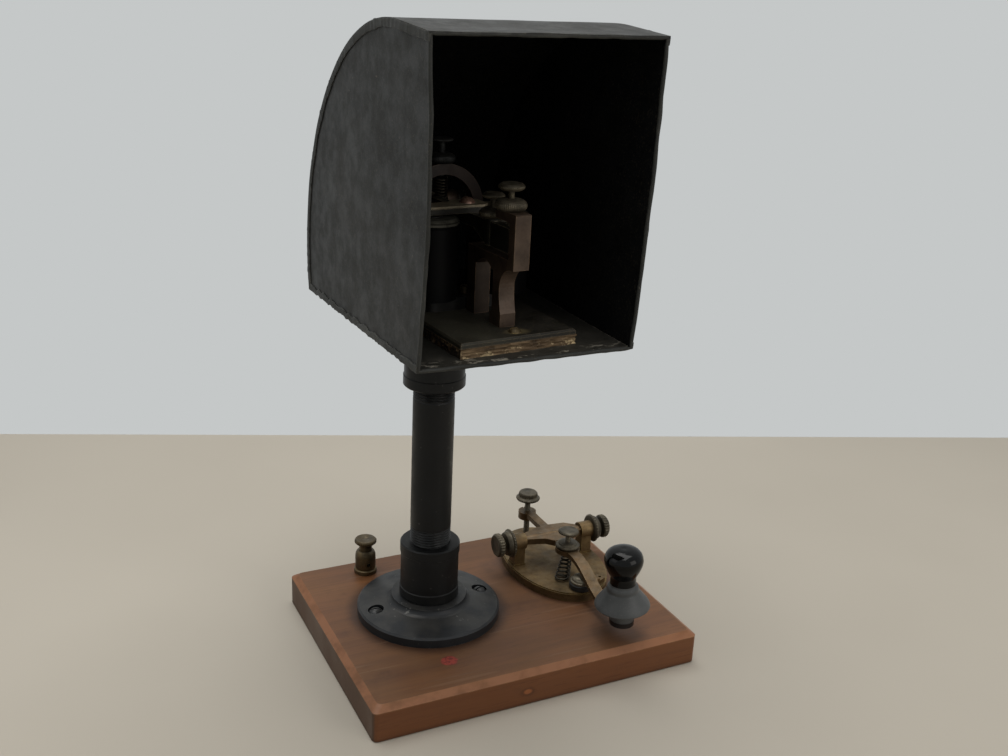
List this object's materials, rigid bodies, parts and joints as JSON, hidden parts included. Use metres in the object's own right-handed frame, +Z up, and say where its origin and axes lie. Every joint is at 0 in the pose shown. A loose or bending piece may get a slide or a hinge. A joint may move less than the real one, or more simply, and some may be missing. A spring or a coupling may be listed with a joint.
{
  "type": "telegraph sounder and key set",
  "caption": "Telegraph sounder in an open-fronted sheet-metal hood on a pipe stand, with a sprung hand key and two line posts on a bevelled wooden board.",
  "frame": {"origin": "centre of the wooden board's underside, on the table", "axes": "+X to the right along the board's front edge, +Y to the back, +Z up; the hood opens towards -Y"},
  "size_m": [0.228, 0.197, 0.4084],
  "materials": {
    "mahogany": "worn varnish, scratched, lighter worn bevel",
    "blued_iron": "blue-black, worn satin",
    "black_pipe": "black-blue, satin, scuffed",
    "steel_screws": "aged, dull",
    "hood_paint": "matte charcoal paint with stains and dents",
    "dark_brass": "dark aged brass",
    "olive_brass": "aged olive-brown brass",
    "hard_rubber": "polished black",
    "hard_rubber_satin": "satin black, dusty",
    "ebonite": "black, lightly dusty",
    "contact_metal": "tarnished",
    "spring_steel": "dark spring steel",
    "sounder_wood": "old varnish, chipped edges",
    "bed_iron": "dark paint, dusty",
    "bronze": "dark bronze-brown",
    "soft_iron": "grey, dull",
    "winding_cotton": "brown cotton-covered wire",
    "copper_screw": "worn copper"
  },
  "bodies": {
    "stand": {"base_board": "mahogany", "floor_flange": "blued_iron", "flange_screws": "blued_iron", "lower_nipple": "black_pipe", "lower_coupling": "black_pipe", "stand_pipe": "black_pipe", "upper_coupling": "black_pipe", "upper_nipple": "black_pipe", "upper_flange": "blued_iron", "hood_floor": "hood_paint", "hood_left_side": "hood_paint", "hood_right_side": "hood_paint", "hood_back": "hood_paint", "hood_rim": "hood_paint", "line_posts": "dark_brass", "key_base": "olive_brass", "key_leg_bolts": "steel_screws", "contact_insulator": "ebonite", "anvil_contact": "contact_metal", "closer_contact": "olive_brass", "key_spring": "spring_steel", "sounder_base": "sounder_wood", "bed_plate": "bed_iron", "bed_screws": "dark_brass", "anvil_bridge": "bronze", "magnet_heel": "soft_iron", "magnet_cores": "soft_iron", "heel_screw": "dark_brass", "coil_windings": "winding_cotton", "coil_covers": "ebonite", "pivot_bracket": "bronze", "pivot_screws": "steel_screws", "arch": "bronze", "pull_spring": "spring_steel", "sounder_terminals": "dark_brass"},
    "post_screw_left": {"line_post_screw_left": "dark_brass"},
    "post_screw_right": {"line_post_screw_right": "dark_brass"},
    "key_lever": {"key_lever": "olive_brass", "key_arbor": "steel_screws", "key_knob": "hard_rubber", "key_skirt": "hard_rubber_satin", "key_hammer_contact": "contact_metal", "key_clamp_screw": "dark_brass"},
    "gap_screw": {"key_gap_screw": "dark_brass"},
    "spring_screw": {"key_spring_screw": "dark_brass"},
    "spring_nut": {"key_spring_nut": "dark_brass"},
    "trunnion_screw_left": {"trunnion_screw_left": "dark_brass"},
    "trunnion_screw_right": {"trunnion_screw_right": "dark_brass"},
    "trunnion_nut_left": {"trunnion_nut_left": "dark_brass"},
    "trunnion_nut_right": {"trunnion_nut_right": "dark_brass"},
    "sounder_lever": {"sounder_lever": "olive_brass", "sounder_arbor": "steel_screws", "armature": "olive_brass", "armature_screw": "copper_screw"},
    "upper_stop": {"upper_stop_screw": "dark_brass"},
    "upper_stop_nut": {"upper_stop_nut": "dark_brass"},
    "lower_stop": {"lower_stop_screw": "dark_brass"},
    "lower_stop_nut": {"lower_stop_nut": "dark_brass"},
    "tension": {"tension_screw": "steel_screws"},
    "tension_nut": {"tension_nut": "steel_screws"}
  },
  "joints": [
    {"name": "key_press", "type": "hinge", "parent": "stand", "child": "key_lever", "pos_m": [0.0647, 0.031, 0.0464], "axis": [1, 0, 0], "range_deg": [0, 1.17], "stiffness_Nm_per_rad": 2.4, "springref_deg": -1.72, "deforming": ["key_spring"]},
    {"name": "sounder_click", "type": "hinge", "parent": "stand", "child": "sounder_lever", "pos_m": [-0.04294, 0.01965, 0.2996], "axis": [0.9969, 0.0785, 0], "range_deg": [0, 0.71], "stiffness_Nm_per_rad": 2.4, "springref_deg": -1.72, "deforming": ["pull_spring"]},
    {"name": "turn_post_screw_left", "type": "hinge", "parent": "stand", "child": "post_screw_left", "pos_m": [-0.0644, 0.069, 0.0454], "axis": [0, 0, 1], "continuous": true},
    {"name": "turn_post_screw_right", "type": "hinge", "parent": "stand", "child": "post_screw_right", "pos_m": [-0.0214, 0.069, 0.0454], "axis": [0, 0, 1], "continuous": true},
    {"name": "turn_gap_screw", "type": "hinge", "parent": "key_lever", "child": "gap_screw", "pos_m": [0.0647, 0.07, 0.0464], "axis": [0, 0, 1], "continuous": true},
    {"name": "turn_spring_screw", "type": "hinge", "parent": "key_lever", "child": "spring_screw", "pos_m": [0.0647, 0.007, 0.0534], "axis": [0, 0, 1], "continuous": true},
    {"name": "turn_spring_nut", "type": "hinge", "parent": "key_lever", "child": "spring_nut", "pos_m": [0.0647, 0.007, 0.0514], "axis": [0, 0, 1], "continuous": true},
    {"name": "turn_trunnion_screw_left", "type": "hinge", "parent": "stand", "child": "trunnion_screw_left", "pos_m": [0.0327, 0.031, 0.0464], "axis": [1, 0, 0], "continuous": true},
    {"name": "turn_trunnion_screw_right", "type": "hinge", "parent": "stand", "child": "trunnion_screw_right", "pos_m": [0.0967, 0.031, 0.0464], "axis": [1, 0, 0], "continuous": true},
    {"name": "turn_trunnion_nut_left", "type": "hinge", "parent": "stand", "child": "trunnion_nut_left", "pos_m": [0.0317, 0.031, 0.0464], "axis": [1, 0, 0], "continuous": true},
    {"name": "turn_trunnion_nut_right", "type": "hinge", "parent": "stand", "child": "trunnion_nut_right", "pos_m": [0.0977, 0.031, 0.0464], "axis": [1, 0, 0], "continuous": true},
    {"name": "turn_upper_stop", "type": "hinge", "parent": "stand", "child": "upper_stop", "pos_m": [-0.03537, -0.07655, 0.3163], "axis": [0, 0, 1], "continuous": true},
    {"name": "turn_upper_stop_nut", "type": "hinge", "parent": "stand", "child": "upper_stop_nut", "pos_m": [-0.03537, -0.07655, 0.3143], "axis": [0, 0, 1], "continuous": true},
    {"name": "turn_lower_stop", "type": "hinge", "parent": "sounder_lever", "child": "lower_stop", "pos_m": [-0.03682, -0.05811, 0.3062], "axis": [0, 0, 1], "continuous": true},
    {"name": "turn_lower_stop_nut", "type": "hinge", "parent": "sounder_lever", "child": "lower_stop_nut", "pos_m": [-0.03682, -0.05811, 0.3052], "axis": [0, 0, 1], "continuous": true},
    {"name": "turn_tension", "type": "hinge", "parent": "stand", "child": "tension", "pos_m": [-0.04173, 0.0042, 0.3275], "axis": [0, 0, 1], "continuous": true},
    {"name": "turn_tension_nut", "type": "hinge", "parent": "stand", "child": "tension_nut", "pos_m": [-0.04173, 0.0042, 0.3265], "axis": [0, 0, 1], "continuous": true}
  ]
}
